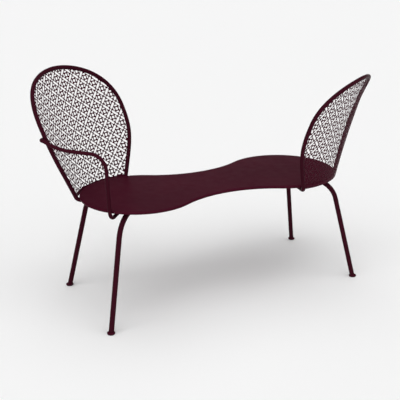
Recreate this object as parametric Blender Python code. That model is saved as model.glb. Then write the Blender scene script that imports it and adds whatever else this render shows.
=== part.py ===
"""A two-seat conversation bench: one peanut-shaped sheet-steel seat with a curved
perforated back over each end, facing opposite ways, on four splayed tube legs.

Units are metres.  +X runs along the bench, -Y is the side that the photograph shows
nearest, +Z is up, and the origin is on the floor under the middle of the seat.
The right half is the left half turned half round about +Z, apart from its back,
which is lower and rolls out flatter, and the armrest, which only the left end has.
"""

import math
from collections import namedtuple

import bmesh
import bpy
from mathutils import Matrix, Vector

# Fit
CONTACT_GAP = 0.0003

# Seat outline: a round lobe at each end, joined by hollow waist arcs
SEAT_HEIGHT = 0.440
LOBE_RADIUS = 0.226
LOBE_OFFSET = 0.319
WAIST_HALF_WIDTH = 0.138
SHEET_THICKNESS = 0.002
BEAD_RADIUS = 0.0055
BEAD_CURL = math.radians(150)
WIRE_FIT = 0.0004
LOBE_STEPS = 19
WAIST_STEPS = 7

# Pressed dishes and the channel under the seat
DISH_BELOW_BEAD = 0.0003
DISH_EDGE_SETBACK = 0.053
DISH_WALL_RUN = 0.008
DISH_FLANGE_WIDTH = 0.009
DISH_DRAIN_RADIUS = 0.012
CHANNEL_WIDTH = 0.060
CHANNEL_FLANGE = 0.012
CHANNEL_END_GAP = 0.003

# Legs
LEG_RADIUS = 0.010
LEG_WALL = 0.0015
KNEE_SETBACK = 0.0052
KNEE_AZIMUTH = math.radians(50.2)
LEG_SPLAY_X = 0.197
LEG_SPLAY_Y = 0.163
LEG_BEND_RADIUS = 0.100
LEG_TAIL_STRAIGHT = 0.040
PLUG_HEAD = 0.0015
PLUG_DEPTH = 0.008

# Feet
PAD_RADIUS = 0.015
PAD_THICKNESS = 0.0045
SPIGOT_LENGTH = 0.018
GLIDE_SETBACK = 0.0015
GLIDE_THICKNESS = 0.003
GLIDE_STEM_RADIUS = 0.003
GLIDE_STEM_HEIGHT = 0.006

# Back outline, seen square on and unrolled: half-widths and heights over the seat
BACK_BASE_HALF = 0.169
BACK_WIDEST_HALF = 0.261
BACK_WIDEST_HEIGHT = 0.268
LEFT_BACK_HEIGHT = 0.449
RIGHT_BACK_HEIGHT = 0.410
BACK_BASE_FLARE = 0.51
BACK_BASE_HANDLE = 0.5
BACK_SIDE_HANDLE = 0.6
BACK_SHOULDER_HANDLE = 0.97
BACK_TOP_HANDLE = 0.12
BACK_SKEW = 0.08

# Back surface: where its middle stands from the lobe's centre, and how it rolls
BACK_AZIMUTH = math.radians(121.4)
BACK_STANDOFF = 0.0025
LEFT_BACK_LEAN = 0.2125
RIGHT_BACK_LEAN = 0.155
LEFT_LEAN_GROWTH = 0.175
RIGHT_LEAN_GROWTH = 0.200
BACK_ROLL_RADIUS = 0.288
LEFT_ROLL_GROWTH = 0.81
RIGHT_ROLL_GROWTH = 1.20

# Back frame bar and sheet
FRAME_RADIUS = 0.008
FRAME_HOOK_RADIUS = 0.021
FRAME_TAIL_LAP = 0.041
PANEL_THICKNESS = 0.0015
PANEL_DROP = 0.013
PANEL_EDGE_GAP = 0.0004
PANEL_FOOT_STEPS = 8
OUTLINE_STEPS = 12

# Openings of the sheet: a square grid that stands on its corner, trimmed along the edge
GRID_PITCH = 0.042
GRID_BAR = 0.011
GRID_BORDER = 0.006
GRID_FOOT_BORDER = 0.015
GRID_START = (-0.1137, 0.278)
GRID_REACH = 13
GRID_LEAST_AREA = 0.00015
SLANT_STRETCH = 1.04

# Armrest
ARM_RADIUS = 0.007
ARM_DROP_AZIMUTH = math.radians(219)
ARM_FOOT_AZIMUTH = math.radians(221)
ARM_RIM_GAP = 0.002
ARM_STILE_HEIGHT = 0.238
ARM_CORNER_HEIGHT = 0.208
ARM_KNEE_SHARE = 0.255
ARM_KNEE_HEIGHT = 0.210
ARM_KNEE_RADIUS = 0.240
ARM_BEND_RADIUS = 0.060
ARM_WRAP_ANGLE = math.radians(122)
ARM_HOOK_RADIUS = 0.026
ARM_HOOK_DIP = 0.016
ARM_TAIL_LAP = 0.016

# Roundness of the swept and turned pieces
BAR_SIDES = 12
WIRE_SIDES = 6
ARM_SIDES = 10
TURNED_SIDES = 20
DISH_SIDES = 36

DISH_TOP = SEAT_HEIGHT - SHEET_THICKNESS - CONTACT_GAP
DISH_BOTTOM = SEAT_HEIGHT - 2 * BEAD_RADIUS - DISH_BELOW_BEAD
DISH_RADIUS = LOBE_RADIUS - DISH_EDGE_SETBACK
DISH_WALL_RADIUS = DISH_RADIUS - DISH_FLANGE_WIDTH
DISH_WEB_RADIUS = DISH_WALL_RADIUS - DISH_WALL_RUN
BACK_REACH = LOBE_RADIUS + BACK_STANDOFF
LOBE_CENTRE = Vector((-LOBE_OFFSET, 0.0, 0.0))
SHEET_TILT = math.atan2(BACK_SKEW, SLANT_STRETCH)
LEG_BORE = LEG_RADIUS - LEG_WALL
PAD_BOTTOM = GLIDE_THICKNESS + CONTACT_GAP
PAD_TOP = PAD_BOTTOM + PAD_THICKNESS
LEG_FLOOR_END = PAD_TOP + CONTACT_GAP
HALF_TURN = Matrix.Rotation(math.pi, 4, "Z")

# Both backs are shaped at the left end; turn takes a finished one to its own end
Back = namedtuple("Back", "side turn height lean lean_growth roll_growth")
LEFT_BACK = Back("left", Matrix.Identity(4), LEFT_BACK_HEIGHT,
                 LEFT_BACK_LEAN, LEFT_LEAN_GROWTH, LEFT_ROLL_GROWTH)
RIGHT_BACK = Back("right", HALF_TURN, RIGHT_BACK_HEIGHT,
                  RIGHT_BACK_LEAN, RIGHT_LEAN_GROWTH, RIGHT_ROLL_GROWTH)


def clear_scene():
    for thing in list(bpy.data.objects):
        bpy.data.objects.remove(thing, do_unlink=True)


def make_material(name, colour, roughness, metallic):
    material = bpy.data.materials.new(name)
    material.use_nodes = True
    shader = material.node_tree.nodes["Principled BSDF"]
    shader.inputs["Base Color"].default_value = (*colour, 1.0)
    shader.inputs["Roughness"].default_value = roughness
    shader.inputs["Metallic"].default_value = metallic
    return material


def add_object(name, bm, material, sharp_angle=math.radians(35)):
    """Turn a bmesh into a named object, with faces out and round pieces smooth."""
    bmesh.ops.recalc_face_normals(bm, faces=bm.faces)
    mesh = bpy.data.meshes.new(name)
    bm.to_mesh(mesh)
    bm.free()
    mesh.materials.append(material)
    mesh.shade_smooth()
    mesh.set_sharp_from_angle(angle=sharp_angle)
    thing = bpy.data.objects.new(name, mesh)
    bpy.context.collection.objects.link(thing)
    return thing


def copy_turned(thing, name):
    """The same piece on the other half, turned half round about the vertical axis."""
    twin = bpy.data.objects.new(name, thing.data)
    twin.matrix_world = HALF_TURN @ thing.matrix_world
    bpy.context.collection.objects.link(twin)
    return twin


def bezier(start, handle_a, handle_b, end, steps):
    """Points along a cubic curve, both ends included."""
    points = []
    for step in range(steps + 1):
        t = step / steps
        s = 1.0 - t
        near = start * s ** 3 + handle_a * 3 * s * s * t
        points.append(near + handle_b * 3 * s * t * t + end * t ** 3)
    return points


def rounded_corner(before, corner, after, radius, steps):
    """Points of the arc that rounds one corner of a path."""
    incoming = (before - corner).normalized()
    outgoing = (after - corner).normalized()
    half_angle = incoming.angle(outgoing) / 2
    reach = radius / math.tan(half_angle)
    centre = corner + (incoming + outgoing).normalized() * (radius / math.sin(half_angle))
    start = corner + incoming * reach - centre
    axis = start.cross(corner + outgoing * reach - centre).normalized()
    turn = math.pi - 2 * half_angle
    return [centre + Matrix.Rotation(turn * k / steps, 3, axis) @ start for k in range(steps + 1)]


def ring_frames(path, closed=False):
    """A matrix square to the path at each of its points, carried along without twist."""
    count = len(path)
    tangents = []
    for index in range(count):
        before = path[index - 1] if index or closed else path[0]
        after = path[(index + 1) % count] if index < count - 1 or closed else path[-1]
        tangents.append((after - before).normalized())
    side = tangents[0].orthogonal().normalized()
    if abs(tangents[0].z) < 0.9:
        side = tangents[0].cross(Vector((0, 0, 1))).normalized()
    frames = []
    for point, tangent in zip(path, tangents):
        side = (side - tangent * side.dot(tangent)).normalized()
        up = tangent.cross(side)
        rotation = Matrix((side, up, tangent)).transposed().to_4x4()
        frames.append(Matrix.Translation(point) @ rotation)
    return frames


def add_rings(bm, frames, radius, sides):
    """One circle of vertices at each frame."""
    rings = []
    for frame in frames:
        made = bmesh.ops.create_circle(bm, cap_ends=False, segments=sides, radius=radius, matrix=frame)
        rings.append(made["verts"])
    for edge in list(bm.edges):
        if not edge.link_faces:
            bm.edges.remove(edge)
    return rings


def skin(bm, first, second):
    """Quads between two rings of the same count."""
    count = len(first)
    for index in range(count):
        after = (index + 1) % count
        bm.faces.new((first[index], first[after], second[after], second[index]))


def slide_to_level(ring, frame, level):
    """Slide a ring's vertices along the path's direction to one height, as a flat cut would."""
    direction = frame.to_3x3() @ Vector((0, 0, 1))
    for vertex in ring:
        vertex.co += direction * ((level - vertex.co.z) / direction.z)


def sweep(path, radius, sides=BAR_SIDES, bore=0.0, closed=False, start_level=None):
    """A round bar, or a tube where it has a bore, along a path."""
    bm = bmesh.new()
    frames = ring_frames(path, closed)
    walls = [add_rings(bm, frames, radius, sides)]
    if bore:
        walls.append(add_rings(bm, frames, bore, sides))
    for rings in walls:
        if start_level is not None:
            slide_to_level(rings[0], frames[0], start_level)
        for first, second in zip(rings, rings[1:]):
            skin(bm, first, second)
    outer = walls[0]
    if closed:
        skin(bm, outer[-1], outer[0])
    elif bore:
        skin(bm, outer[0], walls[1][0])
        skin(bm, outer[-1], walls[1][-1])
    else:
        bm.faces.new(outer[0])
        bm.faces.new(outer[-1])
    return bm


def turn(profile, sides=TURNED_SIDES, centre=(0.0, 0.0)):
    """Turn a profile of (radius, height) pairs about a vertical axis."""
    bm = bmesh.new()
    vertices = [bm.verts.new((radius, 0.0, height)) for radius, height in profile]
    closed = profile[0][0] > 0.0
    pairs = list(zip(vertices, vertices[1:]))
    if closed:
        pairs.append((vertices[-1], vertices[0]))
    edges = [bm.edges.new(pair) for pair in pairs]
    bmesh.ops.spin(bm, geom=vertices + edges, cent=(0, 0, 0), axis=(0, 0, 1),
                   angle=math.tau, steps=sides, use_merge=True)
    bmesh.ops.remove_doubles(bm, verts=bm.verts, dist=1e-6)
    bmesh.ops.translate(bm, verts=bm.verts, vec=(*centre, 0.0))
    return bm


def arc_points(centre, radius, start, end, steps):
    """Points on a flat arc, without its last one."""
    points = []
    for step in range(steps):
        angle = start + (end - start) * step / steps
        points.append(Vector((centre[0] + radius * math.cos(angle), centre[1] + radius * math.sin(angle))))
    return points


def seat_outline(inset):
    """The seat's outline, drawn in by an inset: right lobe, far waist, left lobe, near waist."""
    rise = LOBE_OFFSET ** 2 + WAIST_HALF_WIDTH ** 2 - LOBE_RADIUS ** 2
    waist_radius = rise / (2 * (LOBE_RADIUS - WAIST_HALF_WIDTH))
    waist_centre = WAIST_HALF_WIDTH + waist_radius
    half_angle = math.atan2(LOBE_OFFSET, waist_centre)
    quarter = math.pi / 2
    lobe_end = quarter + half_angle
    lobe = LOBE_RADIUS - inset
    waist = waist_radius + inset
    points = arc_points((LOBE_OFFSET, 0), lobe, -lobe_end, lobe_end, 2 * LOBE_STEPS)
    points += arc_points((0, waist_centre), waist, half_angle - quarter, -half_angle - quarter, WAIST_STEPS)
    return points + [-point for point in points]


def build_seat(material):
    """Flat sheet with its edge rolled round a wire, and the wire."""
    bead_z = SEAT_HEIGHT - BEAD_RADIUS
    curl_steps = 6
    profile = []
    for radius, order in ((BEAD_RADIUS, 1), (BEAD_RADIUS - SHEET_THICKNESS, -1)):
        steps = range(curl_steps + 1)
        for step in list(steps)[::order]:
            angle = math.pi / 2 - (math.pi / 2 + BEAD_CURL) * step / curl_steps
            profile.append((BEAD_RADIUS - radius * math.cos(angle), bead_z + radius * math.sin(angle)))
    bm = bmesh.new()
    rings = [[bm.verts.new((*point, height)) for point in seat_outline(inset)] for inset, height in profile]
    for first, second in zip(rings, rings[1:]):
        skin(bm, first, second)
    bm.faces.new(rings[0])
    bm.faces.new(rings[-1])
    add_object("seat_pan", bm, material)
    path = [point.to_3d() + Vector((0, 0, bead_z)) for point in seat_outline(BEAD_RADIUS)]
    wire_radius = BEAD_RADIUS - SHEET_THICKNESS - WIRE_FIT
    add_object("rim_wire", sweep(path, wire_radius, WIRE_SIDES, closed=True), material)


def build_under_seat(material):
    """A shallow dish under each lobe and a channel under the waist, all closing on the sheet."""
    web_top = DISH_BOTTOM + SHEET_THICKNESS
    flange_bottom = DISH_TOP - SHEET_THICKNESS
    profile = [
        (DISH_DRAIN_RADIUS, DISH_BOTTOM),
        (DISH_WEB_RADIUS, DISH_BOTTOM),
        (DISH_WALL_RADIUS, flange_bottom),
        (DISH_RADIUS, flange_bottom),
        (DISH_RADIUS, DISH_TOP),
        (DISH_WALL_RADIUS - SHEET_THICKNESS, DISH_TOP),
        (DISH_WEB_RADIUS - SHEET_THICKNESS, web_top),
        (DISH_DRAIN_RADIUS, web_top),
    ]
    left = add_object("left_support_dish", turn(profile, DISH_SIDES, LOBE_CENTRE.xy), material)
    copy_turned(left, "right_support_dish")

    half = CHANNEL_WIDTH / 2
    web = half - CHANNEL_FLANGE
    wall = web - DISH_WALL_RUN / 2
    inner_wall = wall - SHEET_THICKNESS
    section = [(-half, DISH_TOP), (-half, flange_bottom), (-web, flange_bottom), (-wall, DISH_BOTTOM),
               (wall, DISH_BOTTOM), (web, flange_bottom), (half, flange_bottom), (half, DISH_TOP),
               (web - SHEET_THICKNESS, DISH_TOP), (inner_wall, web_top), (-inner_wall, web_top),
               (SHEET_THICKNESS - web, DISH_TOP)]
    reach = LOBE_OFFSET - DISH_RADIUS - CHANNEL_END_GAP
    bm = bmesh.new()
    face = bm.faces.new([bm.verts.new((-reach, y, z)) for y, z in section])
    grown = bmesh.ops.extrude_face_region(bm, geom=[face], use_keep_orig=True)
    moved = [item for item in grown["geom"] if isinstance(item, bmesh.types.BMVert)]
    bmesh.ops.translate(bm, verts=moved, vec=(2 * reach, 0, 0))
    add_object("waist_channel", bm, material)


def leg_line(side_x, side_y):
    """Where a leg's straight run would meet its tail, and its slope per unit of height."""
    reach = LOBE_RADIUS - KNEE_SETBACK
    level = DISH_BOTTOM - CONTACT_GAP - LEG_RADIUS
    knee = Vector((side_x * (LOBE_OFFSET + reach * math.cos(KNEE_AZIMUTH)),
                   side_y * reach * math.sin(KNEE_AZIMUTH), level))
    return knee, Vector((-side_x * LEG_SPLAY_X, -side_y * LEG_SPLAY_Y, 1.0))


def leg_path(knee, climb):
    """From the foot up the splayed run, round the bend and along the tail under the dish."""
    foot = knee - climb * (knee.z - LEG_FLOOR_END)
    inward = Vector((climb.x, climb.y, 0.0)).normalized()
    reach = LEG_BEND_RADIUS * math.tan(climb.angle(inward) / 2) + LEG_TAIL_STRAIGHT
    end = knee + inward * reach
    return [foot] + rounded_corner(foot, knee, end, LEG_BEND_RADIUS, 8) + [end]


def build_foot(name, foot, axis, steel, nylon):
    """A steel pad with a spigot up the leg, and a nylon glide pressed in from below."""
    edge = 0.0015
    pad = add_object(f"{name}_pad", turn([
        (0.0, PAD_BOTTOM), (PAD_RADIUS, PAD_BOTTOM), (PAD_RADIUS, PAD_TOP - edge),
        (PAD_RADIUS - edge, PAD_TOP), (0.0, PAD_TOP)], centre=foot), steel)
    base = Vector((*foot, 0.0)) + axis * (PAD_BOTTOM + PAD_THICKNESS / 2)
    spigot = sweep([base, base + axis * SPIGOT_LENGTH], LEG_BORE - CONTACT_GAP)
    stem_top = GLIDE_THICKNESS + GLIDE_STEM_HEIGHT
    hole_radius = GLIDE_STEM_RADIUS + CONTACT_GAP
    hole_top = stem_top + CONTACT_GAP
    hole = turn([(0.0, 0.0), (hole_radius, 0.0), (hole_radius, hole_top), (0.0, hole_top)], centre=foot)
    for bm, operation in ((spigot, "UNION"), (hole, "DIFFERENCE")):
        tool = add_object(f"{name}_{operation.lower()}_tool", bm, steel)
        tool.hide_render = True
        tool.display_type = "WIRE"
        cut = pad.modifiers.new(operation.lower(), "BOOLEAN")
        cut.operation = operation
        cut.object = tool
    glide_radius = PAD_RADIUS - GLIDE_SETBACK
    add_object(f"{name}_glide", turn([
        (0.0, 0.0), (glide_radius - edge / 2, 0.0), (glide_radius, edge / 2),
        (glide_radius, GLIDE_THICKNESS), (GLIDE_STEM_RADIUS, GLIDE_THICKNESS),
        (GLIDE_STEM_RADIUS, stem_top), (0.0, stem_top)], centre=foot), nylon)


def build_plug(name, path, nylon):
    """A push-in plug that closes a leg's upper end."""
    end = path[-1]
    outward = (end - path[-2]).normalized()
    rotation = outward.to_track_quat("Z", "Y").to_matrix().to_4x4()
    stem = LEG_BORE - CONTACT_GAP
    bm = turn([(0.0, -PLUG_DEPTH), (stem, -PLUG_DEPTH), (stem, CONTACT_GAP), (LEG_RADIUS, CONTACT_GAP),
               (stem, CONTACT_GAP + PLUG_HEAD), (0.0, CONTACT_GAP + PLUG_HEAD)], BAR_SIDES)
    plug = add_object(name, bm, nylon)
    plug.matrix_world = Matrix.Translation(end) @ rotation


def build_legs(steel, nylon):
    """Four tube legs, each with its foot and a plug in its upper end."""
    for across, side_x in (("left", -1), ("right", 1)):
        for along, side_y in (("front", -1), ("rear", 1)):
            name = f"{along}_{across}"
            knee, climb = leg_line(side_x, side_y)
            path = leg_path(knee, climb)
            leg = sweep(path, LEG_RADIUS, bore=LEG_BORE, start_level=LEG_FLOOR_END)
            add_object(f"{name}_leg", leg, steel)
            build_foot(name, (knee - climb * knee.z).xy, climb, steel, nylon)
            build_plug(f"{name}_leg_plug", path, nylon)


def back_half_outline(back, steps=OUTLINE_STEPS):
    """One side of a back's outline, from the seat to the top, as half-width and height."""
    base = Vector((BACK_BASE_HALF, 0.0))
    widest = Vector((BACK_WIDEST_HALF, BACK_WIDEST_HEIGHT))
    top = Vector((0.0, back.height))
    flare = Vector((BACK_BASE_FLARE, 1.0)) * (BACK_BASE_HANDLE * BACK_WIDEST_HEIGHT)
    below = Vector((BACK_WIDEST_HALF, BACK_SIDE_HANDLE * BACK_WIDEST_HEIGHT))
    above = widest + Vector((0.0, BACK_SHOULDER_HANDLE * (back.height - BACK_WIDEST_HEIGHT)))
    beside = top + Vector((BACK_TOP_HANDLE * BACK_WIDEST_HALF, 0.0))
    lower = bezier(base, base + flare, below, widest, steps)
    return lower + bezier(widest, above, beside, top, steps)[1:]


def on_back(back, across, height):
    """A point of a back's rolled, leaning surface: across it, and above the seat."""
    roll = BACK_ROLL_RADIUS + back.roll_growth * height
    reach = BACK_REACH + back.lean * height + back.lean_growth * height ** 2
    angle = (across + BACK_SKEW * height) / roll
    out = reach - roll + roll * math.cos(angle)
    aside = roll * math.sin(angle)
    point = Matrix.Rotation(BACK_AZIMUTH, 3, "Z") @ Vector((out, aside, SEAT_HEIGHT + height))
    return point + LOBE_CENTRE


def spoke(azimuth):
    """The level direction that points to an azimuth."""
    return Vector((math.cos(azimuth), math.sin(azimuth), 0.0))


def hook_under(stile, bar_radius, hook_radius, lap, steps, dip=0.0):
    """Carry a bar down past the rim, round a hook and in under the dish.

    stile holds the bar's last two points, upper one first.  lap is how far the bar
    runs in under the dish's flat web, and dip is how far the hook hangs under its end.
    """
    level = DISH_BOTTOM - CONTACT_GAP - bar_radius
    down = (stile[1] - stile[0]).normalized()
    corner = stile[1] + down * ((level - dip - stile[1].z) / down.z)
    outward = corner - LOBE_CENTRE
    outward.z = 0.0
    outward.normalize()
    end = LOBE_CENTRE + outward * (DISH_WEB_RADIUS - lap) + Vector((0, 0, level))
    return rounded_corner(stile[1], corner, end, hook_radius, steps) + [end]


def frame_path(back):
    """A back's bar: a tail, one stile, over the top, the other stile and a tail."""
    half = back_half_outline(back)
    first = [on_back(back, across, height) for across, height in half]
    second = [on_back(back, -across, height) for across, height in half]
    tails = []
    for side in (first, second):
        tails.append(hook_under((side[1], side[0]), FRAME_RADIUS, FRAME_HOOK_RADIUS, FRAME_TAIL_LAP, 5))
    return tails[0][::-1] + first + second[-2::-1] + tails[1]


def panel_edge(back, half, side):
    """One side edge of the sheet: the outline drawn in until it stands clear of the bar."""
    clearance = FRAME_RADIUS + PANEL_EDGE_GAP
    probe = 0.001
    edge = []
    for index, point in enumerate(half[:-1]):
        along = (half[index + 1] - half[max(index - 1, 0)]).normalized() * probe
        inward = Vector((-along.y, along.x))
        here = on_back(back, side * point.x, point.y)
        run = on_back(back, side * (point.x + along.x), point.y + along.y) - here
        aside = on_back(back, side * (point.x + inward.x), point.y + inward.y) - here
        edge.append(point + inward * (clearance / (aside - aside.project(run)).length))
    lowest = edge[0]
    edge[0] = Vector((lowest.x - BACK_BASE_FLARE * (lowest.y + PANEL_DROP), -PANEL_DROP))
    return [Vector((side * point.x, point.y)) for point in edge]


def unroll(point):
    """Where a point of a back, given across and in height, lies on the flat sheet."""
    flat = Vector((point.x + BACK_SKEW * point.y, point.y * SLANT_STRETCH))
    return Matrix.Rotation(SHEET_TILT, 2) @ flat


def roll_up(back, flat):
    """The rolled place of a point of the flat sheet."""
    level = Matrix.Rotation(-SHEET_TILT, 2) @ flat
    height = level.y / SLANT_STRETCH
    return on_back(back, level.x - BACK_SKEW * height, height)


def panel_boundary(back):
    """The flat sheet's edge: up one side, down the other and back along the foot."""
    half = back_half_outline(back)
    first = panel_edge(back, half, 1)
    second = panel_edge(back, half, -1)
    crown = Vector((0.0, back.height - FRAME_RADIUS - PANEL_EDGE_GAP))
    foot = [second[0].lerp(first[0], k / PANEL_FOOT_STEPS) for k in range(1, PANEL_FOOT_STEPS)]
    return [unroll(point) for point in first + [crown] + second[::-1] + foot]


def draw_openings(bm, boundary):
    """One face for each opening of the flat sheet."""
    step = GRID_PITCH / math.sqrt(2)
    half = (GRID_PITCH - GRID_BAR) / math.sqrt(2)
    corners = [Vector((half, 0.0)), Vector((0.0, half)), Vector((-half, 0.0)), Vector((0.0, -half))]
    start = unroll(Vector(GRID_START)) + Vector((0.0, step))
    for row in range(-GRID_REACH, GRID_REACH + 1):
        for column in range(-GRID_REACH, GRID_REACH + 1):
            if (row + column) % 2 == 0:
                middle = start + Vector((column, row)) * step
                bm.faces.new([bm.verts.new((middle + corner).to_3d()) for corner in corners])
    foot_start = len(boundary) - PANEL_FOOT_STEPS
    for index, (here, after) in enumerate(zip(boundary, boundary[1:] + boundary[:1])):
        outward = Vector((after.y - here.y, here.x - after.x)).normalized()
        width = GRID_FOOT_BORDER if index >= foot_start else GRID_BORDER
        border = here - outward * width
        everything = bm.verts[:] + bm.edges[:] + bm.faces[:]
        bmesh.ops.bisect_plane(bm, geom=everything, plane_co=border.to_3d(), plane_no=outward.to_3d(),
                               clear_outer=True)
    scraps = [face for face in bm.faces if face.calc_area() < GRID_LEAST_AREA]
    bmesh.ops.delete(bm, geom=scraps, context="FACES")


def build_panel(back):
    """The rolled sheet inside a back's bar, filled in flat round its openings."""
    boundary = panel_boundary(back)
    bm = bmesh.new()
    draw_openings(bm, boundary)
    bmesh.ops.delete(bm, geom=bm.faces[:], context="FACES_ONLY")
    ring = [bm.verts.new(point.to_3d()) for point in boundary]
    for here, after in zip(ring, ring[1:] + ring[:1]):
        bm.edges.new((here, after))
    bmesh.ops.triangle_fill(bm, use_beauty=True, edges=bm.edges[:], normal=(0, 0, 1))
    for vertex in bm.verts:
        vertex.co = roll_up(back, vertex.co.xy)
    return bm


def build_backs(material):
    for back in (LEFT_BACK, RIGHT_BACK):
        frame = sweep(frame_path(back), FRAME_RADIUS)
        panel = build_panel(back)
        for bm in (frame, panel):
            bmesh.ops.transform(bm, matrix=back.turn, verts=bm.verts)
        add_object(f"{back.side}_back_frame", frame, material)
        sheet = add_object(f"{back.side}_back_panel", panel, material)
        thicken = sheet.modifiers.new("thickness", "SOLIDIFY")
        thicken.thickness = PANEL_THICKNESS
        thicken.offset = 0.0


def arm_path():
    """Wrapped round the left stile, down to a level run, down past the rim and hooked under it."""
    half = back_half_outline(LEFT_BACK)
    heights = [height for _, height in half]
    index = next(k for k, height in enumerate(heights) if height > ARM_STILE_HEIGHT)
    share = (ARM_STILE_HEIGHT - heights[index - 1]) / (heights[index] - heights[index - 1])
    across = half[index - 1].lerp(half[index], share).x
    stile = on_back(LEFT_BACK, across, ARM_STILE_HEIGHT)
    upright = (on_back(LEFT_BACK, half[index].x, heights[index]) - stile).normalized().z
    wrap_radius = (FRAME_RADIUS + ARM_RADIUS + CONTACT_GAP) / upright
    drop_reach = LOBE_RADIUS + ARM_RIM_GAP + ARM_RADIUS
    corner = LOBE_CENTRE + spoke(ARM_DROP_AZIMUTH) * drop_reach + Vector((0, 0, SEAT_HEIGHT + ARM_CORNER_HEIGHT))
    away = stile - corner
    away.z = 0.0
    distance = away.length
    away.normalize()
    outside = Vector((0, 0, 1)).cross(away)
    lean_in = math.asin(wrap_radius / distance)
    radial = Matrix.Rotation(-lean_in, 3, "Z") @ outside
    wrap_steps = 8
    wrap = []
    for step in range(wrap_steps + 1):
        angle = ARM_WRAP_ANGLE * (1 - step / wrap_steps)
        wrap.append(stile + Matrix.Rotation(-angle, 3, "Z") @ radial * wrap_radius)
    rim = LOBE_CENTRE + spoke(ARM_FOOT_AZIMUTH) * drop_reach + Vector((0, 0, SEAT_HEIGHT))
    knee = wrap[-1].lerp(corner, ARM_KNEE_SHARE)
    knee.z = SEAT_HEIGHT + ARM_KNEE_HEIGHT
    sway = rounded_corner(wrap[-1], knee, corner, ARM_KNEE_RADIUS, 4)
    bend = rounded_corner(knee, corner, rim, ARM_BEND_RADIUS, 8)
    hook = hook_under((bend[-1], rim), ARM_RADIUS, ARM_HOOK_RADIUS, ARM_TAIL_LAP, 6, ARM_HOOK_DIP)
    return wrap + sway + bend + hook


def build_bench():
    clear_scene()
    coat = make_material("burgundy_powder_coat", (0.055, 0.012, 0.021), 0.42, 0.0)
    nylon = make_material("black_nylon", (0.012, 0.012, 0.013), 0.55, 0.0)
    build_seat(coat)
    build_under_seat(coat)
    build_legs(coat, nylon)
    build_backs(coat)
    add_object("armrest", sweep(arm_path(), ARM_RADIUS, ARM_SIDES), coat)


build_bench()
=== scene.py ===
# %% [markdown]
# # A conversation bench in pierced sheet metal
#
# The real bench is one flat, peanut-shaped steel seat on four splayed tube legs.  A curved
# back of pierced sheet stands over each end, and the two backs face opposite ways, so two
# people sit side by side and look past each other.  A thin armrest hooks round the left
# back.  Everything but the nylon under the feet is powder coated in a dark burgundy.
#
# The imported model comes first, because every later piece has to sit where its solid is.

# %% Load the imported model
import math
from collections import namedtuple

import bmesh
import bpy
from mathutils import Matrix, Vector


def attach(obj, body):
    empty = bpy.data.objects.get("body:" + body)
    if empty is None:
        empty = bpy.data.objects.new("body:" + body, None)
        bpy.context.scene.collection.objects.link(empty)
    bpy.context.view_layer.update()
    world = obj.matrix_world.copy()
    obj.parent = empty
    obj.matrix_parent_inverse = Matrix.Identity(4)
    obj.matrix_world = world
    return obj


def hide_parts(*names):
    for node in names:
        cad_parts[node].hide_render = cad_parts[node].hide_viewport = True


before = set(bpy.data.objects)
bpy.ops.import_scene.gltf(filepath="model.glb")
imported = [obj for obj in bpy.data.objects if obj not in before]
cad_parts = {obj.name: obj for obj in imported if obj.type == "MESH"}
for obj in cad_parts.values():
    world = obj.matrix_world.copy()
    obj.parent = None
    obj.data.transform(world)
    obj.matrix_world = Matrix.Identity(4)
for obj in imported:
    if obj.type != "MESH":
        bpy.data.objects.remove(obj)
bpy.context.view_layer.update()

scene = bpy.context.scene
scene.view_settings.view_transform = "Standard"

# %% [markdown]
# ## Camera
#
# The photograph was taken from the front left, a little above the backs, with a long lens.
# A camera can be aimed by eye or at an empty; here its numbers come from lining up the
# seat's outline, the feet and the two backs, which is closer than the eye can judge.  The
# photograph's middle is not quite on the lens axis, so the camera has a small shift.

# %% Camera
CAMERA_PLACE = (-1.4373, -2.7571, 1.4379)
CAMERA_HEADING = math.radians(-27.88)
CAMERA_DIP = math.radians(19.45)
FOCAL_LENGTH = 73.30
SENSOR_WIDTH = 36.0
PHOTO_SHIFT = (-0.0433, 0.0097)

lens = bpy.data.cameras.new("photo_camera")
lens.lens = FOCAL_LENGTH
lens.sensor_width = SENSOR_WIDTH
lens.shift_x, lens.shift_y = PHOTO_SHIFT
camera = bpy.data.objects.new("photo_camera", lens)
camera.location = CAMERA_PLACE
camera.rotation_euler = (math.pi / 2 - CAMERA_DIP, 0.0, CAMERA_HEADING)
scene.collection.objects.link(camera)
scene.camera = camera
print("camera", round(math.degrees(CAMERA_DIP), 2), "degrees down")

# %% [markdown]
# ## Floor and background
#
# The background is one pale grey-white.  A curved backdrop could give it, but a very wide
# flat floor has no bend to hide, and it keeps the bench's shadow.  The world meets the
# floor in the same pale colour and darkens higher up, as a white studio wall under a dim
# ceiling does, so the satin coat has something dark to reflect and keeps its depth.

# %% Floor and world
BACKGROUND = 0.922
CEILING = 0.05
WALL_TOP = (math.sin(math.radians(6)), math.sin(math.radians(15)))
FLOOR_SIZE = 400.0
FLOOR_WHITE = 0.937


def link(tree, source, target):
    tree.links.new(source, target)


def new_material(name):
    """An empty node material with a Principled shader on its output."""
    material = bpy.data.materials.new(name)
    material.use_nodes = True
    return material, material.node_tree, material.node_tree.nodes["Principled BSDF"]


floor_bm = bmesh.new()
bmesh.ops.create_grid(floor_bm, x_segments=2, y_segments=2, size=FLOOR_SIZE / 2)
floor_mesh = bpy.data.meshes.new("studio_floor")
floor_bm.to_mesh(floor_mesh)
floor_bm.free()
floor = bpy.data.objects.new("studio_floor", floor_mesh)
scene.collection.objects.link(floor)
floor_paint, tree, shader = new_material("studio_floor")
shader.inputs["Base Color"].default_value = (FLOOR_WHITE, FLOOR_WHITE, FLOOR_WHITE, 1.0)
shader.inputs["Roughness"].default_value = 1.0
shader.inputs["Specular IOR Level"].default_value = 0.0
floor_mesh.materials.append(floor_paint)

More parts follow.
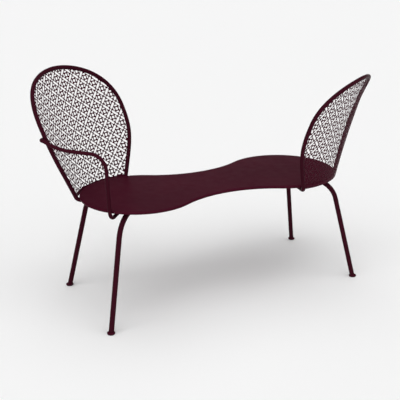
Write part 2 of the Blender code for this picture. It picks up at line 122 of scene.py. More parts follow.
world = bpy.data.worlds.new("studio")
scene.world = world
world.use_nodes = True
tree = world.node_tree
tree.nodes.clear()
direction = tree.nodes.new("ShaderNodeTexCoord")
parts = tree.nodes.new("ShaderNodeSeparateXYZ")
link(tree, direction.outputs["Generated"], parts.inputs[0])
fade = tree.nodes.new("ShaderNodeMapRange")
fade.interpolation_type = "SMOOTHSTEP"
link(tree, parts.outputs["Z"], fade.inputs["Value"])
fade.inputs["From Min"].default_value, fade.inputs["From Max"].default_value = WALL_TOP
fade.inputs["To Min"].default_value = BACKGROUND
fade.inputs["To Max"].default_value = CEILING
glow = tree.nodes.new("ShaderNodeBackground")
link(tree, fade.outputs["Result"], glow.inputs["Strength"])
glow.inputs["Color"].default_value = (1.0, 1.0, 1.0, 1.0)
output = tree.nodes.new("ShaderNodeOutputWorld")
link(tree, glow.outputs[0], output.inputs["Surface"])
print("floor", FLOOR_SIZE, "m, ceiling", CEILING)

# %% [markdown]
# ## Lamps
#
# A studio would use large soft boxes, and area lamps could stand for them.  They light
# the floor unevenly, though, while a sun gives the same light everywhere, so the
# background stays one colour.  The wider the sun, the softer its shadow.  Two suns stand
# behind the camera and draw the soft streak along every tube; the third hangs overhead.

# %% Lamps
SUNS = {
    "key_sun": (1.35, math.radians(60), math.radians(45), math.radians(-60)),
    "front_sun": (1.10, math.radians(70), math.radians(40), math.radians(15)),
    "top_sun": (1.10, math.radians(70), math.radians(18), math.radians(150)),
}

for name, (strength, spread, lean, heading) in SUNS.items():
    lamp = bpy.data.lights.new(name, "SUN")
    lamp.energy = strength
    lamp.angle = spread
    sun = bpy.data.objects.new(name, lamp)
    sun.rotation_euler = (lean, 0.0, heading)
    scene.collection.objects.link(sun)
print("suns", sorted(SUNS))

# %% [markdown]
# ## Powder coat
#
# Powder coat is baked plastic: even in colour, satin, with a fine ripple called orange
# peel.  The ripple, a slow drift of the colour and a slow drift of the gloss make one
# node group, so that each steel finish can place it with its own values instead of
# repeating its nodes.  It gives out a colour, a roughness and a height; the shader
# itself stays in the material.

# %% Powder coat group
PLAIN_GRAIN = 0.5
DRIFT_DETAIL = 3.0
DRIFT_RANGE = (0.35, 0.65)
GLOSS_SIZE = 28.0
GLOSS_DETAIL = 4.0
GLOSS_GRAIN = 0.6
GLOSS_RANGE = (0.3, 0.7)
PEEL_DETAIL = 2.0


def group_socket(group, name, kind, direction, value=None):
    socket = group.interface.new_socket(name=name, in_out=direction, socket_type=kind)
    if value is not None:
        socket.default_value = value
    return socket


def feed(tree, value, socket):
    """Give a socket a plain number, or a link where the value is another socket."""
    if isinstance(value, (int, float)):
        socket.default_value = value
    else:
        link(tree, value, socket)


def noise(tree, vector, scale, detail, roughness):
    node = tree.nodes.new("ShaderNodeTexNoise")
    link(tree, vector, node.inputs["Vector"])
    feed(tree, scale, node.inputs["Scale"])
    node.inputs["Detail"].default_value = detail
    node.inputs["Roughness"].default_value = roughness
    return node.outputs["Fac"]


def remap(tree, value, low, high, to_low, to_high):
    node = tree.nodes.new("ShaderNodeMapRange")
    link(tree, value, node.inputs["Value"])
    node.inputs["From Min"].default_value = low
    node.inputs["From Max"].default_value = high
    feed(tree, to_low, node.inputs["To Min"])
    feed(tree, to_high, node.inputs["To Max"])
    return node.outputs["Result"]


coat_group = bpy.data.node_groups.new("powder_coat", "ShaderNodeTree")
group_socket(coat_group, "Colour", "NodeSocketColor", "INPUT", (0.05, 0.01, 0.02, 1.0))
group_socket(coat_group, "Drift colour", "NodeSocketColor", "INPUT", (0.04, 0.01, 0.02, 1.0))
group_socket(coat_group, "Drift size", "NodeSocketFloat", "INPUT", 6.0)
group_socket(coat_group, "Peel size", "NodeSocketFloat", "INPUT", 420.0)
group_socket(coat_group, "Low roughness", "NodeSocketFloat", "INPUT", 0.36)
group_socket(coat_group, "High roughness", "NodeSocketFloat", "INPUT", 0.46)
group_socket(coat_group, "Colour", "NodeSocketColor", "OUTPUT")
group_socket(coat_group, "Roughness", "NodeSocketFloat", "OUTPUT")
group_socket(coat_group, "Height", "NodeSocketFloat", "OUTPUT")
given = coat_group.nodes.new("NodeGroupInput")
result = coat_group.nodes.new("NodeGroupOutput")
coords = coat_group.nodes.new("ShaderNodeTexCoord")
place = coords.outputs["Object"]
drift = noise(coat_group, place, given.outputs["Drift size"], DRIFT_DETAIL, PLAIN_GRAIN)
blend = coat_group.nodes.new("ShaderNodeMix")
blend.data_type = "RGBA"
link(coat_group, remap(coat_group, drift, *DRIFT_RANGE, 0.0, 1.0), blend.inputs["Factor"])
link(coat_group, given.outputs["Colour"], blend.inputs["A"])
link(coat_group, given.outputs["Drift colour"], blend.inputs["B"])
link(coat_group, blend.outputs["Result"], result.inputs["Colour"])
gloss = noise(coat_group, place, GLOSS_SIZE, GLOSS_DETAIL, GLOSS_GRAIN)
roughness_ends = given.outputs["Low roughness"], given.outputs["High roughness"]
rough = remap(coat_group, gloss, *GLOSS_RANGE, *roughness_ends)
link(coat_group, rough, result.inputs["Roughness"])
peel = noise(coat_group, place, given.outputs["Peel size"], PEEL_DETAIL, PLAIN_GRAIN)
link(coat_group, peel, result.inputs["Height"])
print("powder coat group", len(coat_group.nodes), "nodes")

# %% [markdown]
# ## The finishes
#
# The burgundy is matched to the photograph.  Seat and pierced sheets share one coat.
# Tubes, bars and the armrest have the same coat in a darker copy of its colour: painted
# shade, for the shade that falls on the round bars.  The coat reflects little, because
# in the photograph only a faint streak shows on the bars.  The glides and plugs are black
# moulded nylon: a slow cloud turns its colour and its roughness together, and a fine
# grain lies on top.

# %% Finishes
BURGUNDY = (0.0522, 0.0048, 0.0138, 1.0)
BURGUNDY_DRIFT = (0.0463, 0.0042, 0.0124, 1.0)
# The tubes, bars and armrest take the seat's burgundy darkened: painted shade for the shade that falls
# on round bars.
SHADED_BAR_BURGUNDY = (0.0385, 0.0044, 0.0108, 1.0)
SHADED_BAR_DRIFT = (0.0342, 0.0038, 0.0097, 1.0)
COAT_ROUGHNESS = (0.36, 0.46)
COAT_SPECULAR = 0.020
PEEL_DEPTH = 0.00002
NYLON_DARK = (0.012, 0.012, 0.013, 1.0)
NYLON_LIGHT = (0.020, 0.019, 0.020, 1.0)
NYLON_ROUGHNESS = (0.48, 0.62)
NYLON_GRAIN_SIZE = 900.0
NYLON_GRAIN_DEPTH = 0.00004
NYLON_CLOUD_SIZE = 60.0


def grain_bump(tree, shader, height, depth):
    """A fine relief on a shader's normal."""
    bump = tree.nodes.new("ShaderNodeBump")
    bump.inputs["Distance"].default_value = depth
    link(tree, height, bump.inputs["Height"])
    link(tree, bump.outputs["Normal"], shader.inputs["Normal"])


def coat_material(name, colour, drift_colour):
    """The powder coat group on a shader, with the ripple as a bump."""
    material, tree, shader = new_material(name)
    coat = tree.nodes.new("ShaderNodeGroup")
    coat.node_tree = coat_group
    coat.inputs["Colour"].default_value = colour
    coat.inputs["Drift colour"].default_value = drift_colour
    for end, roughness in zip(("Low roughness", "High roughness"), COAT_ROUGHNESS):
        coat.inputs[end].default_value = roughness
    link(tree, coat.outputs["Colour"], shader.inputs["Base Color"])
    link(tree, coat.outputs["Roughness"], shader.inputs["Roughness"])
    grain_bump(tree, shader, coat.outputs["Height"], PEEL_DEPTH)
    shader.inputs["Specular IOR Level"].default_value = COAT_SPECULAR
    return material


burgundy = coat_material("burgundy_powder_coat", BURGUNDY, BURGUNDY_DRIFT)
# The bars' coat is the same coat in the darkened colour: painted shade.
shaded_bar_burgundy = coat_material("burgundy_coat_with_painted_shade", SHADED_BAR_BURGUNDY, SHADED_BAR_DRIFT)

black_nylon, tree, shader = new_material("black_nylon")
coords = tree.nodes.new("ShaderNodeTexCoord")
grain = noise(tree, coords.outputs["Object"], NYLON_GRAIN_SIZE, DRIFT_DETAIL, PLAIN_GRAIN)
cloud = noise(tree, coords.outputs["Object"], NYLON_CLOUD_SIZE, PEEL_DETAIL, PLAIN_GRAIN)
shade = tree.nodes.new("ShaderNodeMix")
shade.data_type = "RGBA"
link(tree, cloud, shade.inputs["Factor"])
shade.inputs["A"].default_value = NYLON_DARK
shade.inputs["B"].default_value = NYLON_LIGHT
link(tree, shade.outputs["Result"], shader.inputs["Base Color"])
link(tree, remap(tree, cloud, *GLOSS_RANGE, *NYLON_ROUGHNESS), shader.inputs["Roughness"])
grain_bump(tree, shader, grain, NYLON_GRAIN_DEPTH)
print("materials", [m.name for m in bpy.data.materials if m.users])

# %% [markdown]
# ## The solids that stay
#
# Legs, foot pads, glides, plugs, dishes, channel and wire already have the right shape.
# They could be drawn again with more sides, but they are thin or hidden, so they keep
# their shape and only get their finish.

# %% Finish the solids
NYLON_NODES = ("_glide", "_plug")
BAR_NODES = ("_leg", "_frame", "armrest")


def finish_for(name):
    if name.endswith(NYLON_NODES):
        return black_nylon
    # Legs, frames and the armrest get the coat with painted shade.
    return shaded_bar_burgundy if name.endswith(BAR_NODES) else burgundy


for name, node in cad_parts.items():
    finish = finish_for(name)
    node.data.materials.clear()
    node.data.materials.append(finish)
    node.data.shade_smooth()
print("solids", len(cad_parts))

# %% [markdown]
# ## From bmesh to a finished piece
#
# Each new piece is one mesh whose object stays at the origin, so that a pattern on Object
# coordinates lies still.  Doubles are merged, faces are turned outwards, and edges
# sharper than a set angle stay crisp.  One helper does this for every piece, and says
# which solid the piece stands for.

# %% Helper that finishes a piece
MERGE_DISTANCE = 1e-6
BAR_CRISP_ANGLE = 35.0
SEAT_CRISP_ANGLE = 60.0
SHEET_CRISP_ANGLE = 50.0


def finish_piece(bm, name, stands_for, sharp=BAR_CRISP_ANGLE, material=burgundy):
    bmesh.ops.remove_doubles(bm, verts=bm.verts, dist=MERGE_DISTANCE)
    bmesh.ops.recalc_face_normals(bm, faces=bm.faces)
    mesh = bpy.data.meshes.new(name)
    bm.to_mesh(mesh)
    bm.free()
    place_mesh(mesh, name, stands_for, sharp, material)


def place_mesh(mesh, name, stands_for, sharp, material=burgundy):
    mesh.materials.append(material)
    mesh.shade_smooth()
    mesh.set_sharp_from_angle(angle=math.radians(sharp))
    piece = bpy.data.objects.new(name, mesh)
    scene.collection.objects.link(piece)
    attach(piece, "root")
    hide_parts(*stands_for)
    print(name, len(mesh.polygons), "faces")


# %% [markdown]
# ## Seat
#
# The seat is 2 mm sheet with its edge rolled over a wire into an 11 mm bead.  Its outline
# is four arcs: a lobe at each end and a hollow waist on each side.  It could be a filled
# curve with a bevel, but that bead would be a full round without the sheet's thickness.
# So the section of the bead is spun about the four arc centres in turn, which keeps the
# rolled edge open below as a real one is, and the flat is filled in after.

# %% Seat sizes
SEAT_HEIGHT = 0.440
LOBE_RADIUS = 0.226
LOBE_OFFSET = 0.319
WAIST_HALF_WIDTH = 0.138
SHEET = 0.002
BEAD_RADIUS = 0.0055
BEAD_CURL = math.radians(150)
BEAD_STEPS = 14
FLAT_MARGIN = 0.016
LOBE_STEPS = 72
WAIST_STEPS = 24
SEAM_MERGE = 1e-5

rise = LOBE_OFFSET**2 + WAIST_HALF_WIDTH**2 - LOBE_RADIUS**2
waist_radius = rise / (2 * (LOBE_RADIUS - WAIST_HALF_WIDTH))
waist_centre = WAIST_HALF_WIDTH + waist_radius
waist_half_angle = math.atan2(LOBE_OFFSET, waist_centre)
lobe_half_angle = math.pi / 2 + waist_half_angle
print("waist arc radius", round(waist_radius, 4))

# %% Seat
def bead_section():
    """Inset and height of the rolled edge's section: outside from the flat, then inside back to it."""
    points = [(FLAT_MARGIN, SEAT_HEIGHT)]
    middle = SEAT_HEIGHT - BEAD_RADIUS
    for radius, order in ((BEAD_RADIUS, 1), (BEAD_RADIUS - SHEET, -1)):
        for step in list(range(BEAD_STEPS + 1))[::order]:
            angle = math.pi / 2 - (math.pi / 2 + BEAD_CURL) * step / BEAD_STEPS
            points.append((BEAD_RADIUS - radius * math.cos(angle), middle + radius * math.sin(angle)))
    points.append((FLAT_MARGIN, SEAT_HEIGHT - SHEET))
    return points


def close_flat(bm, height):
    """Fill the open loop of edges at one height with a single face."""
    level = {v for v in bm.verts if abs(v.co.z - height) < MERGE_DISTANCE}
    loop = [e for e in bm.edges if e.is_boundary and level.issuperset(e.verts)]
    bmesh.ops.edgeloop_fill(bm, edges=loop)


seat = bmesh.new()
right_lobe = Vector((LOBE_OFFSET, 0, 0))
start = Matrix.Rotation(-lobe_half_angle, 3, "Z")
line = [
    seat.verts.new(right_lobe + start @ Vector((LOBE_RADIUS - inset, 0, z)))
    for inset, z in bead_section()
]
geometry = line + [seat.edges.new(pair) for pair in zip(line, line[1:])]
for centre, turn, steps in (
    (right_lobe, 2 * lobe_half_angle, LOBE_STEPS),
    (Vector((0, waist_centre, 0)), -2 * waist_half_angle, WAIST_STEPS),
    (-right_lobe, 2 * lobe_half_angle, LOBE_STEPS),
    (Vector((0, -waist_centre, 0)), -2 * waist_half_angle, WAIST_STEPS),
):
    spun = bmesh.ops.spin(
        seat, geom=geometry, cent=centre, axis=(0, 0, 1), angle=turn, steps=steps, use_merge=False
    )
    geometry = spun["geom_last"]
bmesh.ops.remove_doubles(seat, verts=seat.verts, dist=SEAM_MERGE)
close_flat(seat, SEAT_HEIGHT)
close_flat(seat, SEAT_HEIGHT - SHEET)
finish_piece(seat, "seat_sheet", ["seat_pan"], SEAT_CRISP_ANGLE)

# %% [markdown]
# ## Backs: the rolled surface
#
# Each back is a flat outline that has been rolled about a leaning axis.  A bend modifier
# could roll a flat mesh, but the bar, the sheet and the armrest all have to meet on the
# same surface, so it is one function that all of them use.  A point is given by how far
# it lies across, and how high over the seat; the roll is wider higher up, and the middle
# leans outwards.  The outline is two Bezier curves a side.  The right back is lower,
# stands steeper and flattens out sooner, so each back has its own four values.  Both are
# shaped at the left end, and the right one is then turned half round.

# %% Back surface and outline
BACK_AZIMUTH = math.radians(121.4)
BACK_STANDOFF = 0.0025
BACK_REACH = LOBE_RADIUS + BACK_STANDOFF
BACK_ROLL_RADIUS = 0.288
BACK_SKEW = 0.08
BASE_HALF = 0.169
WIDEST_HALF = 0.261
WIDEST_HEIGHT = 0.268
BASE_FLARE = 0.51
BASE_HANDLE = 0.5
SIDE_HANDLE = 0.6
SHOULDER_HANDLE = 0.97
TOP_HANDLE = 0.12
OUTLINE_STEPS = 48
LEFT_LOBE = Vector((-LOBE_OFFSET, 0, 0))
Back = namedtuple("Back", "height lean lean_growth roll_growth")
LEFT_BACK = Back(height=0.449, lean=0.2125, lean_growth=0.175, roll_growth=0.81)
RIGHT_BACK = Back(height=0.410, lean=0.155, lean_growth=0.200, roll_growth=1.20)


def on_back(back, across, height):
    """A point of a back's surface, given across it and over the seat."""
    roll = BACK_ROLL_RADIUS + back.roll_growth * height
    reach = BACK_REACH + back.lean * height + back.lean_growth * height**2
    angle = (across + BACK_SKEW * height) / roll
    out = reach - roll + roll * math.cos(angle)
    aside = roll * math.sin(angle)
    turned = Matrix.Rotation(BACK_AZIMUTH, 3, "Z") @ Vector((out, aside, SEAT_HEIGHT + height))
    return turned + LEFT_LOBE


def bezier(start, handle_a, handle_b, end, steps):
    points = []
    for step in range(steps + 1):
        t = step / steps
        s = 1.0 - t
        points.append(start * s**3 + handle_a * 3 * s * s * t + handle_b * 3 * s * t * t + end * t**3)
    return points


def half_outline(back, steps=OUTLINE_STEPS):
    """One side of a back's outline from the seat to the top, as across and height."""
    base = Vector((BASE_HALF, 0.0))
    widest = Vector((WIDEST_HALF, WIDEST_HEIGHT))
    top = Vector((0.0, back.height))
    flare = Vector((BASE_FLARE, 1.0)) * (BASE_HANDLE * WIDEST_HEIGHT)
    below = Vector((WIDEST_HALF, SIDE_HANDLE * WIDEST_HEIGHT))
    above = widest + Vector((0.0, SHOULDER_HANDLE * (back.height - WIDEST_HEIGHT)))
    beside = top + Vector((TOP_HANDLE * WIDEST_HALF, 0.0))
    lower = bezier(base, base + flare, below, widest, steps)
    upper = bezier(widest, above, beside, top, steps)
    return lower + upper[1:]


left_outline = half_outline(LEFT_BACK)
print("outline", len(left_outline), "points a side")

# %% [markdown]
# ## Bars
#
# The bar round each back is one bent length.  Both ends turn in under the seat, where
# they are welded to the hidden dishes.  A circle could be extruded from point to point,
# but it has to be turned at each one, and a small error there twists the bar.  A curve
# with a round bevel does this by itself, so it sweeps the bar along the same line as the
# solid, only rounder, and is made a mesh afterwards.

# %% Bar sweep
BAR_RADIUS = 0.008
CONTACT_GAP = 0.0003
DISH_SETBACK = 0.053
DISH_FLANGE = 0.009
DISH_WALL = 0.008
DISH_BOTTOM = SEAT_HEIGHT - 2 * BEAD_RADIUS - CONTACT_GAP
DISH_WEB_RADIUS = LOBE_RADIUS - DISH_SETBACK - DISH_FLANGE - DISH_WALL
BEND_STEPS = 14
BAR_ROUNDNESS = 6


def rounded_corner(before, corner, after, radius, steps=BEND_STEPS):
    """Points of the arc that rounds one corner of a path."""
    incoming = (before - corner).normalized()
    outgoing = (after - corner).normalized()
    half_angle = incoming.angle(outgoing) / 2
    centre = corner + (incoming + outgoing).normalized() * (radius / math.sin(half_angle))
    first = corner + incoming * (radius / math.tan(half_angle)) - centre
    last = corner + outgoing * (radius / math.tan(half_angle)) - centre
    axis = first.cross(last).normalized()
    turn = math.pi - 2 * half_angle
    return [centre + Matrix.Rotation(turn * k / steps, 3, axis) @ first for k in range(steps + 1)]


def hook_under(stile, bar_radius, hook_radius, lap, dip=0.0):
    """Carry a bar down past the rim, round a hook and in under the dish."""
    level = DISH_BOTTOM - CONTACT_GAP - bar_radius
    down = (stile[1] - stile[0]).normalized()
    corner = stile[1] + down * ((level - dip - stile[1].z) / down.z)
    outward = corner - LEFT_LOBE
    outward.z = 0.0
    end = LEFT_LOBE + outward.normalized() * (DISH_WEB_RADIUS - lap) + Vector((0, 0, level))
    return rounded_corner(stile[1], corner, end, hook_radius) + [end]


def sweep(path, radius, name):
    """A round bar along a path, as a mesh with closed ends."""
    curve = bpy.data.curves.new(name, "CURVE")
    curve.dimensions = "3D"
    curve.bevel_depth = radius
    curve.bevel_resolution = BAR_ROUNDNESS
    curve.use_fill_caps = True
    spline = curve.splines.new("POLY")
    spline.points.add(len(path) - 1)
    for point, place in zip(spline.points, path):
        point.co = (*place, 1.0)
    holder = bpy.data.objects.new(name, curve)
    scene.collection.objects.link(holder)
    bpy.context.view_layer.update()
    mesh = bpy.data.meshes.new_from_object(holder.evaluated_get(bpy.context.evaluated_depsgraph_get()))
    bpy.data.objects.remove(holder)
    bpy.data.curves.remove(curve)
    bm = bmesh.new()
    bm.from_mesh(mesh)
    bpy.data.meshes.remove(mesh)
    return bm


def half_turned(bm):
    """Turn a piece half round about the vertical axis, for the right end."""
    bmesh.ops.rotate(bm, verts=bm.verts, cent=(0, 0, 0), matrix=Matrix.Rotation(math.pi, 3, "Z"))
    return bm


print("rim to dish", round(LOBE_RADIUS - DISH_WEB_RADIUS, 4))

# %% Bars round the backs
BAR_HOOK_RADIUS = 0.021
BAR_TAIL_LAP = 0.041


def back_bar(back):
    """The bent bar of one back: up one side, over the top and down the other."""
    outline = half_outline(back)
    side_a = [on_back(back, p.x, p.y) for p in outline]
    side_b = [on_back(back, -p.x, p.y) for p in outline]
    tail_a = hook_under((side_a[1], side_a[0]), BAR_RADIUS, BAR_HOOK_RADIUS, BAR_TAIL_LAP)
    tail_b = hook_under((side_b[1], side_b[0]), BAR_RADIUS, BAR_HOOK_RADIUS, BAR_TAIL_LAP)
    return sweep(tail_a[::-1] + side_a + side_b[-2::-1] + tail_b, BAR_RADIUS, "bar")


right_bar = half_turned(back_bar(RIGHT_BACK))
finish_piece(right_bar, "right_back_bar", ["right_back_frame"], material=shaded_bar_burgundy)
finish_piece(back_bar(LEFT_BACK), "left_back_bar", ["left_back_frame"], material=shaded_bar_burgundy)

# %% [markdown]
# ## Armrest
#
# A 14 mm bar hooks round the outside of the left back's bar, sinks to a level run, bends
# down outside the rim and hooks in under the seat.  It could be drawn as one smooth
# spline, but a real bar is bent round formers, so its path is straight runs joined by
# arcs of fixed radius.  The place where it meets the back comes from the back's outline.

# %% Armrest
ARM_RADIUS = 0.007
ARM_STILE_HEIGHT = 0.238
ARM_CORNER_HEIGHT = 0.208
ARM_CORNER_AZIMUTH = math.radians(219)
ARM_FOOT_AZIMUTH = math.radians(221)
ARM_RIM_GAP = 0.002
ARM_KNEE_SHARE = 0.255
ARM_KNEE_HEIGHT = 0.210
ARM_KNEE_RADIUS = 0.240
ARM_BEND_RADIUS = 0.060
ARM_HOOK_RADIUS = 0.026
ARM_HOOK_DIP = 0.016
ARM_TAIL_LAP = 0.016
ARM_WRAP = math.radians(122)

lower = max(k for k, p in enumerate(left_outline) if p.y <= ARM_STILE_HEIGHT)
under, over = left_outline[lower], left_outline[lower + 1]
share = (ARM_STILE_HEIGHT - under.y) / (over.y - under.y)
stile = on_back(LEFT_BACK, under.lerp(over, share).x, ARM_STILE_HEIGHT)
upright = (on_back(LEFT_BACK, over.x, over.y) - stile).normalized().z
wrap_radius = (BAR_RADIUS + ARM_RADIUS + CONTACT_GAP) / upright


def beside_rim(azimuth, height):
    """A point just outside the left lobe's rim, at a height over the seat."""
    spoke = Vector((math.cos(azimuth), math.sin(azimuth), 0)) * (LOBE_RADIUS + ARM_RIM_GAP + ARM_RADIUS)
    return LEFT_LOBE + spoke + Vector((0, 0, SEAT_HEIGHT + height))


corner = beside_rim(ARM_CORNER_AZIMUTH, ARM_CORNER_HEIGHT)
rim = beside_rim(ARM_FOOT_AZIMUTH, 0.0)
away = stile - corner
away.z = 0.0
lean_in = math.asin(wrap_radius / away.length)
radial = Matrix.Rotation(-lean_in, 3, "Z") @ Vector((0, 0, 1)).cross(away.normalized())
wrap = [
    stile + Matrix.Rotation(-ARM_WRAP * (1 - k / BEND_STEPS), 3, "Z") @ radial * wrap_radius
    for k in range(BEND_STEPS + 1)
]
knee = wrap[-1].lerp(corner, ARM_KNEE_SHARE)
knee.z = SEAT_HEIGHT + ARM_KNEE_HEIGHT
sway = rounded_corner(wrap[-1], knee, corner, ARM_KNEE_RADIUS)
bend = rounded_corner(knee, corner, rim, ARM_BEND_RADIUS)
hook = hook_under((bend[-1], rim), ARM_RADIUS, ARM_HOOK_RADIUS, ARM_TAIL_LAP, ARM_HOOK_DIP)
arm = sweep(wrap + sway + bend + hook, ARM_RADIUS, "arm")
finish_piece(arm, "arm_bar", ["armrest"], material=shaded_bar_burgundy)

# %% [markdown]
# ## Pierced sheet
#
# The backs are cut from pierced stock in a traditional cane pattern: long slots along a
# square lattice that stands on its corner, a small round hole at each crossing, and a
# larger round hole with four short petals in each cell.  An image or a see-through
# material could fake the holes, but their edges catch the light and show the metal's
# thickness when the sheet is seen at a low angle, so every hole is cut.  The sheet is
# made in the order of the real one: punched flat first, rolled afterwards.

# %% Pierced sheet sizes
PITCH = 0.0420
SLOT_LENGTH = 0.0295
SLOT_WIDTH = 0.0094
CROSSING_RADIUS = 0.0040
CENTRE_RADIUS = 0.0058
PETAL_REACH = 0.0126
PETAL_LENGTH = 0.0130
PETAL_WIDTH = 0.0064
HEIGHT_STRETCH = 1.04
SIDE_BORDER = 0.0018
FOOT_BORDER = 0.0150
WELD_DEPTH = 0.0010
SHEET_CLEARANCE = BAR_RADIUS - WELD_DEPTH
SHEET_DROP = 0.013
CROSSING_SEEN = (-0.1137, 0.278)
SMALLEST_HOLE = 1.5e-6
PIERCED_SHEET = 0.0007
FOOT_STEPS = 32
REACH = 12
PROBE = 0.001
TRIM_TOLERANCE = 1e-6
ROUND_SIDES = 12
SMALL_SIDES = 8

tilt = math.atan2(BACK_SKEW, HEIGHT_STRETCH)


def to_flat(across, height):
    """Where a point of the back lies on the unrolled sheet, with the sheet's own axis upright."""
    flat = Vector((across + BACK_SKEW * height, height * HEIGHT_STRETCH))
    return Matrix.Rotation(tilt, 2) @ flat


def from_flat(x, y):
    flat = Matrix.Rotation(-tilt, 2) @ Vector((x, y))
    height = flat.y / HEIGHT_STRETCH
    return flat.x - BACK_SKEW * height, height


print("sheet axis leans", round(math.degrees(tilt), 2), "degrees")

# %% [markdown]
# ## Edge of the sheet
#
# The real sheet is trimmed to the bar and welded to its inner side.  The outline could be
# shrunk by a fixed amount, but on the rolled surface that would leave a gap in some
# places and cut into the bar in others.  So at each point the step inwards is measured
# on the surface itself.

# %% Edge of the sheet
def sheet_edge(back, side):
    """One side edge: the outline drawn in until it only just enters the bar, as if welded."""
    outline = half_outline(back)
    edge = []
    for index, point in enumerate(outline[:-1]):
        along = (outline[index + 1] - outline[max(index - 1, 0)]).normalized() * PROBE
        inward = Vector((-along.y, along.x))
        here = on_back(back, side * point.x, point.y)
        run = on_back(back, side * (point.x + along.x), point.y + along.y) - here
        aside = on_back(back, side * (point.x + inward.x), point.y + inward.y) - here
        moved = point + inward * (SHEET_CLEARANCE / (aside - aside.project(run)).length)
        edge.append(Vector((side * moved.x, moved.y)))
    first = edge[0]
    edge[0] = Vector((first.x - side * BASE_FLARE * (first.y + SHEET_DROP), -SHEET_DROP))
    return edge


def sheet_edges(back):
    """The flat sheet's two edges: up one side and down the other, and back along the foot."""
    crown = Vector((0.0, back.height - SHEET_CLEARANCE))
    side = [to_flat(*p) for p in sheet_edge(back, 1) + [crown] + sheet_edge(back, -1)[::-1]]
    foot = [side[-1].lerp(side[0], k / FOOT_STEPS) for k in range(FOOT_STEPS + 1)]
    return side, foot


left_foot = sheet_edges(LEFT_BACK)[1]
print("foot of the left sheet", round((left_foot[-1] - left_foot[0]).length, 4))

# %% [markdown]
# ## Holes
#
# A boolean could cut the holes, but with this many of them it is slow and may fail.
# Here each hole is drawn as one flat face: a circle whose halves are pulled apart where
# it is to be a slot.  Where a hole runs over the border, a bisect trims it, and a scrap
# too small to punch is dropped.

# %% Holes
def nearest_border(point, edge, border):
    """How deep a flat point lies inside one border line, with the line's place and outward side."""
    best = None
    for a, b in zip(edge, edge[1:]):
        along = (b - a).normalized()
        run = min(max((point - a).dot(along), 0.0), (b - a).length)
        gap = (a + along * run - point).length
        if best is None or gap < best[0]:
            best = (gap, a, Vector((along.y, -along.x)))
    place = best[1] - best[2] * border
    return (place - point).dot(best[2]), place, best[2]


def punch(bm, edges, centre, turn, length, width, sides):
    """Draw one hole as a face: a circle, pulled out to a slot where length is above width."""
    widths = (SIDE_BORDER, FOOT_BORDER)
    borders = [nearest_border(centre, edge, border) for edge, border in zip(edges, widths)]
    if min(depth for depth, _, _ in borders) < -length / 2:
        return 0
    place = Matrix.Translation((*centre, 0)) @ Matrix.Rotation(turn + math.pi / sides, 4, "Z")
    circle = bmesh.ops.create_circle(bm, cap_ends=True, segments=sides, radius=width / 2, matrix=place)
    made = circle["verts"]
    along = Vector((math.cos(turn), math.sin(turn), 0))
    for way in (1, -1):
        end = [v for v in made if (v.co - centre.to_3d()).dot(along) * way > 0]
        bmesh.ops.translate(bm, verts=end, vec=along * way * (length - width) / 2)
    left = [made[0].link_faces[0]]
    for depth, edge_point, outward in borders:
        if depth < length / 2 and left:
            parts = left + list({e for f in left for e in f.edges} | {v for f in left for v in f.verts})
            cut = bmesh.ops.bisect_plane(
                bm, geom=parts, plane_co=edge_point.to_3d(), plane_no=outward.to_3d(),
                clear_outer=True, dist=TRIM_TOLERANCE,
            )
            left = [f for f in cut["geom"] if isinstance(f, bmesh.types.BMFace) and f.is_valid]
    scraps = [f for f in left if f.calc_area() < SMALLEST_HOLE]
    bmesh.ops.delete(bm, geom=scraps, context="FACES")
    return len(left) - len(scraps)


def punch_lattice(bm, edges):
    """Every hole of one flat sheet, lattice point by lattice point."""
    count = 0
    quarter = math.pi / 2
    diagonal = PITCH / math.sqrt(2)
    start = to_flat(*CROSSING_SEEN)
    for i in range(-REACH, REACH + 1):
        for j in range(-REACH, REACH + 1):
            crossing = start + Vector(((i - j) * diagonal, (i + j) * diagonal))
            middle = crossing + Vector((0.0, diagonal))
            for centre, radius, sides in (
                (crossing, CROSSING_RADIUS, SMALL_SIDES),
                (middle, CENTRE_RADIUS, ROUND_SIDES),
            ):
                count += punch(bm, edges, centre, 0.0, 2 * radius, 2 * radius, sides)
            for way in (1, -1):
                slot = crossing + Vector((way * diagonal / 2, diagonal / 2))
                count += punch(bm, edges, slot, way * quarter / 2, SLOT_LENGTH, SLOT_WIDTH, ROUND_SIDES)
            for k in range(4):
                out = Vector((math.cos(k * quarter), math.sin(k * quarter)))
                count += punch(bm, edges, middle + out * PETAL_REACH, (k + 1) * quarter,
                               PETAL_LENGTH, PETAL_WIDTH, SMALL_SIDES)
    return count


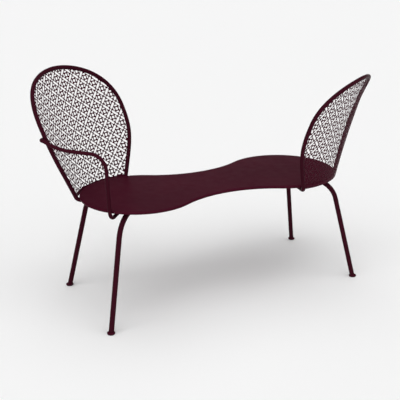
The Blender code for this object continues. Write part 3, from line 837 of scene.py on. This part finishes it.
# %% [markdown]
# ## Fill and roll
#
# With the faces of the holes taken out and their edges kept, a triangle fill lays the
# metal between them and the sheet's edge.  Each vertex is then moved to its place on
# the rolled surface.  Extruding the skin would need its side walls closed by hand, so
# the Solidify modifier gives it its thickness, to both sides alike.

# %% Fill the sheet round its holes and roll it
def pierced_sheet(back):
    """One back's sheet as a single skin, on the back's surface."""
    edges = sheet_edges(back)
    boundary = edges[0] + edges[1][1:-1]
    flat = bmesh.new()
    count = punch_lattice(flat, edges)
    hole_area = sum(f.calc_area() for f in flat.faces)
    bmesh.ops.delete(flat, geom=flat.faces[:], context="FACES_ONLY")
    corners = [flat.verts.new(point.to_3d()) for point in boundary]
    for first, second in zip(corners, corners[1:] + corners[:1]):
        flat.edges.new((first, second))
    outlines = flat.edges[:]
    bmesh.ops.triangle_fill(flat, use_beauty=True, use_dissolve=False, edges=outlines, normal=(0, 0, 1))
    sheet_area = sum(f.calc_area() for f in flat.faces)
    print("holes", count, "open share", round(hole_area / (hole_area + sheet_area), 3))
    for vertex in flat.verts:
        vertex.co = on_back(back, *from_flat(vertex.co.x, vertex.co.y))
    bmesh.ops.recalc_face_normals(flat, faces=flat.faces)
    return flat


def thicken(bm, name, stands_for):
    """Give the rolled sheet its thickness and keep the edges of its holes crisp."""
    mesh = bpy.data.meshes.new(name)
    bm.to_mesh(mesh)
    bm.free()
    holder = bpy.data.objects.new(name, mesh)
    scene.collection.objects.link(holder)
    solid = holder.modifiers.new("thickness", "SOLIDIFY")
    solid.thickness = PIERCED_SHEET
    solid.offset = 0.0
    bpy.context.view_layer.update()
    thick = bpy.data.meshes.new_from_object(holder.evaluated_get(bpy.context.evaluated_depsgraph_get()))
    bpy.data.objects.remove(holder)
    bpy.data.meshes.remove(mesh)
    thick.name = name
    place_mesh(thick, name, stands_for, SHEET_CRISP_ANGLE)


thicken(half_turned(pierced_sheet(RIGHT_BACK)), "right_pierced_sheet", ["right_back_panel"])
thicken(pierced_sheet(LEFT_BACK), "left_pierced_sheet", ["left_back_panel"])
